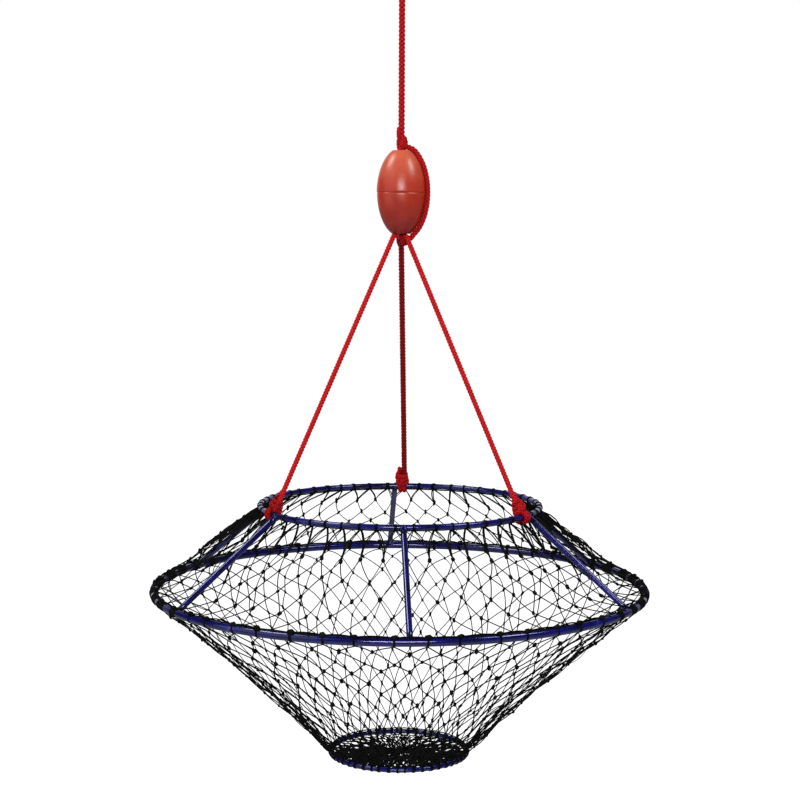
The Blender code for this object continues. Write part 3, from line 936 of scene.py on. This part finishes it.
def twine_piece(name, runs, lumps, body, *replaced):
    """One object of black twine: its strings and its knots."""
    made = strung(name, runs, twine_diameter, 0)
    tied_lumps(made.data, lumps)
    made.data.materials.append(black_twine)
    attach(made, body)
    if replaced:
        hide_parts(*replaced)
    return made


def hoop_spot(radius, height, angle):
    """The spot on a level ring at this angle."""
    return Vector((radius * math.cos(angle), radius * math.sin(angle), height))


def beside_rod(radius, height, off, around, angle):
    """The spot this far off the middle of a hoop's rod, at this place round the rod."""
    return hoop_spot(radius + off * math.cos(around), height + off * math.sin(around), angle)


def collars(name, radius, height, rod_radius, widths, lift, knot_share, body, node, lines):
    """Collars of twine round a hoop, one for each mesh, a knot on each, and the twine between them.

    The widths are those at the front, at the back and at both sides. The lift is the knots' place
    round the rod at the hoop's sides, and how much less it is at the front. knot_share scales the
    knots, and lines are the running twines' slacks.
    """
    knot_stand_off = 0.0010
    runs = []
    lumps = []
    joints = []
    reach = rod_radius + 0.2 * twine_diameter
    pitch = math.tau / meshes_round
    front, back, sides = widths
    for mesh in range(meshes_round):
        angle = first_collar + pitch * (mesh + random.uniform(-unevenness, unevenness))
        to_side = min(1, max(0, 6 * abs(math.cos(angle)) - 4.7))
        knot_lift = lift[0] + lift[1] * math.sin(angle)
        plain = back if math.sin(angle) > 0 else front
        width = (plain + (sides - plain) * to_side) * random.uniform(0.8, 1.2)
        spacing = random.uniform(0.9, 1.1) * twine_diameter * (0.85 + 0.35 * to_side)
        turns = width / spacing
        run = []
        count = round(turns * 9)
        lean = random.uniform(-0.25, 0.25)
        for index in range(count + 1):
            around = knot_lift + index * math.tau / 9
            shift = spacing * (index / 9 - turns / 2)
            here = angle + (shift + lean * rod_radius * math.cos(around)) / radius
            run.append(beside_rod(radius, height, reach, around, here))
        runs.append((run, 1))
        joints.append(angle)
        off = rod_radius + knot_stand_off * knot_share
        lump = beside_rod(radius, height, off, knot_lift, angle)
        way = Vector((-math.sin(angle), math.cos(angle), random.uniform(-0.3, 0.3))).normalized()
        long = knot_share * random.uniform(0.0027, 0.0040)
        lumps.append((lump, way, long, knot_share * random.uniform(0.0018, 0.0026)))
    for slack in lines:
        for angle, next_angle in zip(joints, joints[1:] + [joints[0] + math.tau]):
            run = []
            sag = random.uniform(0.2, 1.0) * slack
            for index in range(6):
                share = index / 5
                here = angle + share * (next_angle - angle)
                off = rod_radius + 0.0011 + sag * math.sin(math.pi * share)
                knot_lift = lift[0] + lift[1] * math.sin(here)
                run.append(beside_rod(radius, height, off, knot_lift, here))
            runs.append((run, 1.15))
    return twine_piece(name, runs, lumps, body, node), joints


random.seed(3)
first_collar = math.radians(-87.8) + math.pi / meshes_round
_, top_collar_angles = collars(
    "top_hoop_collars",
    top_hoop_radius,
    top_hoop_z,
    top_rod_radius,
    (0.0042, 0.0054, 0.0078),
    (math.radians(240), 0),
    0.95,
    "cage",
    "top_hoop_lashing",
    [0.0008],
)
main_lift = (math.radians(88), math.radians(20))
_, main_collar_angles = collars(
    "main_hoop_collars",
    main_hoop_radius,
    main_hoop_z,
    main_rod_radius,
    (0.0040, 0.0050, 0.0360),
    main_lift,
    1.90,
    "cage",
    "main_hoop_lashing",
    [0.0012, 0.0042],
)
_, bait_collar_angles = collars(
    "bait_ring_collars",
    bait_ring_radius,
    bait_ring_z,
    bait_rod_radius,
    (0.0044, 0.0052, 0.0110),
    (math.radians(95), math.radians(-22)),
    1.0,
    "bait_ring_set",
    "bait_ring_lashing",
    [0.0010],
)

# The netting: diamond meshes of the same black twine, sheet-bend knots at their corners. The upper
# wall hangs inside the struts from the top hoop and is drawn down to the main hoop.


def strand(start, end, bow, steps=4):
    """One side of a mesh between two knots, bowed by this much in its middle."""
    points = []
    for index in range(steps + 1):
        share = index / steps
        points.append(start.lerp(end, share) + bow * (4 * share * (1 - share)))
    return points


def wall(rows, angles, phase_of_first):
    """The knots of a netting wall: rows are (radius, height), and each row is half a mesh on."""
    pitch = math.tau / meshes_round
    knots = []
    for row, (radius, height) in enumerate(rows):
        line = []
        for mesh in range(meshes_round):
            if row == 0:
                angle = angles[mesh]
                line.append(hoop_spot(radius, height, angle))
                continue
            shift = 0.5 * (row % 2)
            shift += random.uniform(-unevenness, unevenness)
            angle = phase_of_first + pitch * (mesh + shift)
            line.append(
                hoop_spot(
                    radius + random.uniform(-0.003, 0.003),
                    height + random.uniform(-0.0035, 0.0035),
                    angle,
                )
            )
        knots.append(line)
    return knots


def mesh_below(row, mesh, side):
    """The mesh of the next row that a knot's strand going down to this side ends at."""
    return (mesh + (side - 1) // 2 + row % 2) % meshes_round


def mesh_above(row, mesh, side):
    """The mesh of the row before that the same strand comes down from."""
    return (mesh - (side - 1) // 2 - (row - 1) % 2) % meshes_round


def mesh_sides(knots, tension):
    """Every side of every mesh, as its row, start, side, end and bow: a taut diagonal bows least."""
    found = []
    last = len(knots) - 1
    for row in range(last):
        for mesh, start in enumerate(knots[row]):
            for side in (-1, 1):
                below = mesh_below(row, mesh, side)
                end = knots[row + 1][below]
                before = 2 * start - end
                if row > 0:
                    before = knots[row - 1][mesh_above(row, mesh, side)]
                after = 2 * end - start
                if row + 1 < last:
                    after = knots[row + 2][mesh_below(row + 1, below, side)]
                bow = (start - before + end - after) * ((1 - tension) / 8)
                found.append((row, start, side, end, bow))
    return found


def any_way(size):
    """A small random shift."""
    return Vector([random.uniform(-size, size) for _ in range(3)])


front_knot = (0.0041, 0.0026)
back_knot = (0.0047, 0.0021)


def net_knot(spot, down, size):
    """A sheet-bend knot at this spot: a lump lying roughly down the wall, drawn longer at the back."""
    way = down.normalized() + any_way(0.35)
    half_length, half_thickness = back_knot if spot.y > 0 else front_knot
    return (spot, way.normalized(), half_length * size, half_thickness * size)


def between(top, low, share):
    """The (radius, height) of a ring at this share of the way between two rings."""
    return (top[0] + (low[0] - top[0]) * share, top[1] + (low[1] - top[1]) * share)


def stand_off(angle):
    """How far the upper wall stands out from the hoops' cone: outside the back struts only."""
    back = 0.5 + 0.5 * math.sin(angle)
    out = -0.0065 + 0.0150 * min(1, max(0, 2.2 * back - 0.45))
    return out - 0.008 * max(0, math.cos(angle)) ** 2


random.seed(5)
upper_top = (top_hoop_radius - 0.002, top_hoop_z - top_rod_radius - 0.001)
upper_low = (main_hoop_radius - main_rod_radius - 0.002, main_hoop_z + 0.0035)
upper_shares = (0, 0.271, 0.458, 0.631, 0.801, 0.965)
upper_rows = [between(upper_top, upper_low, share) for share in upper_shares]
upper_knots = wall(upper_rows, top_collar_angles, first_collar)
for line, share in zip(upper_knots, upper_shares):
    for spot in line:
        angle = math.atan2(spot.y, spot.x)
        push = stand_off(angle) * min(1, 5 * share, 5 * (1.05 - share))
        spot += push * Vector((0.62 * math.cos(angle), 0.62 * math.sin(angle), 0.78))
line_lift = main_rod_radius + 0.0030
for spot in upper_knots[-1]:
    angle = math.atan2(spot.y, spot.x)
    knot_lift = main_lift[0] + main_lift[1] * math.sin(angle)
    spot.xyz = beside_rod(main_hoop_radius, main_hoop_z, line_lift, knot_lift, angle)
upper_tension = 0.55
doubled_strands = ((0.0020, 0.0050, 0.0020, 1.25), (0.0004, 0.0034, 0.0008, 0.90))
runs = []
lumps = []
for row, start, side, end, bow in mesh_sides(upper_knots, upper_tension):
    sideways = Vector((-start.y, start.x, 0)).normalized() * side
    to_side = abs(start.x) / math.hypot(start.x, start.y)
    if row == 0:
        share = 1.0 if start.y < 0 else 0.35
        for aside, bow_aside, bow_up, thickness in doubled_strands:
            bend = sideways * bow_aside * share + Vector((0, 0, bow_up * share))
            run = strand(start + sideways * aside, end, bend + any_way(0.0012), 6)
            runs.append((run, thickness))
        if to_side > 0.8:
            for _ in range(2):
                runs.append((strand(start, end, bend + any_way(0.0055), 5), 1.15))
    else:
        runs.append((strand(start, end, bow + any_way(0.0009)), 0.92))
        if to_side > 0.86 and row < 3:
            runs.append((strand(start, end, bow + any_way(0.0040)), 0.95))
for row, line in enumerate(upper_knots):
    for spot in line:
        slope = 1.0 if spot.y < 0 else 0.25
        down = Vector((slope * spot.x, slope * spot.y, -0.75 * math.hypot(spot.x, spot.y)))
        if row == 1:
            lumps.append(net_knot(spot, down, 1.35))
        elif 1 < row < 5:
            lumps.append(net_knot(spot, down, random.uniform(1.0, 1.3)))
        elif row == 5:
            lumps.append(net_knot(spot, Vector((-spot.y, spot.x, 0)), 0.75))
twine_piece("upper_netting_twine", runs, lumps, "cage", "upper_netting")

# The lower wall: the same netting as a soft bag, from the main hoop in to the small bait ring.

random.seed(8)
lower_top = (main_hoop_radius - 0.001, main_hoop_z - main_rod_radius - 0.001)
lower_low = (bait_ring_radius + 0.002, bait_ring_z + bait_rod_radius + 0.001)
lower_sag = 0.0045
lower_tension = 0.1
lower_shares = (0, 0.048, 0.134, 0.216, 0.308, 0.400, 0.491, 0.583, 0.678, 0.770, 0.862, 0.950)
lower_rows = [between(lower_top, lower_low, share) for share in lower_shares]
lower_rows = [
    (
        radius - lower_sag * math.sin(math.pi * share),
        height + lower_sag * math.sin(math.pi * share),
    )
    for (radius, height), share in zip(lower_rows, lower_shares)
]
lower_knots = wall(lower_rows, main_collar_angles, first_collar)
lower_knots.append([hoop_spot(lower_low[0], lower_low[1], angle) for angle in bait_collar_angles])
runs = []
lumps = []
for _, start, _, end, bow in mesh_sides(lower_knots, lower_tension):
    to_side = abs(start.x) / math.hypot(start.x, start.y)
    runs.append((strand(start, end, bow + any_way(0.0009)), 0.95))
    if to_side > 0.975:
        runs.append((strand(start, end, bow + any_way(0.0030)), 0.70))
for line in lower_knots[1:-1]:
    for spot in line:
        slope = -1.0 if spot.y > 0 else -0.4
        down = Vector((slope * spot.x, slope * spot.y, -0.95 * math.hypot(spot.x, spot.y)))
        narrow = 1 - 0.35 * (abs(spot.x) / math.hypot(spot.x, spot.y)) ** 6
        lumps.append(net_knot(spot, down, narrow * random.uniform(0.95, 1.3)))
lower_netting = twine_piece("lower_netting_twine", runs, lumps, "cage", "lower_netting")
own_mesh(lower_netting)

# The bottom: the netting goes on across the bait ring, drawn in to its middle and tied off in a
# clump, where bait is fastened.

random.seed(13)
bottom_top = (bait_ring_radius - bait_rod_radius - 0.0006, bait_ring_z - 0.0030)
bottom_low = (0.010, bait_ring_z - 0.0035)
bottom_shares = (0, 0.17, 0.33, 0.48, 0.62, 0.75, 0.87)
bottom_rows = [between(bottom_top, bottom_low, share) for share in bottom_shares]
fold_turn = 0.03
runs = []
lumps = []
for fold in range(2):
    bottom_knots = wall(bottom_rows, bait_collar_angles, first_collar + fold_turn * fold)
    for _, start, _, end, _ in mesh_sides(bottom_knots, 1.0):
        thickness = 1.60 if start.y < 0.01 else 0.95
        runs.append((strand(start, end, any_way(0.0014), 3), thickness))
    for line in bottom_knots[1:5]:
        for spot in line:
            down = Vector((-spot.x, -spot.y, random.uniform(-0.01, 0.01)))
            lumps.append(net_knot(spot, down, random.uniform(0.8, 1.1)))
    for start in bottom_knots[-1]:
        height = bait_ring_z - 0.003 + random.uniform(-0.002, 0.002)
        end = Vector((0.2 * start.x, 0.2 * start.y, height))
        runs.append((strand(start, end, Vector((0, 0, 0.001)), 2), 0.95))
twine_piece("bottom_netting_twine", runs, lumps, "bait_ring_set", "bottom_netting")

# The gather tie: the twine that draws the bottom's meshes together, wound round the clump and
# knotted on itself, its ends cut short.

random.seed(21)
clump = Vector((0, 0, bait_ring_z - 0.0025))
clump_radius = 0.005
tie_radii = (0.0085, 0.0070, 0.0055)
tie_pitch = 0.0016
tie_end_length = 0.024
runs = []
for coil, radius in enumerate(tie_radii):
    lean = Vector((random.uniform(-0.3, 0.3), random.uniform(-0.3, 0.3), 1))
    runs.append((turns_round(clump, lean, radius, tie_pitch, 2.5, start=2.0 * coil), 1.1))
for way in (0.6, 2.9, 4.4):
    tip = hoop_spot(tie_end_length, 0.003, way)
    runs.append((strand(clump, clump + tip, Vector((0, 0, 0.003))), 1.0))
lumps = []
for index in range(9):
    angle = index * math.tau / 9
    spot = clump + hoop_spot(clump_radius, random.uniform(-0.001, 0.001), angle)
    way = Vector((-math.sin(angle), math.cos(angle), 0.4)).normalized()
    lumps.append((spot, way, 0.0040, 0.0026))
twine_piece("gather_tie_twine", runs, lumps, "bait_ring_set", "gather_tie")
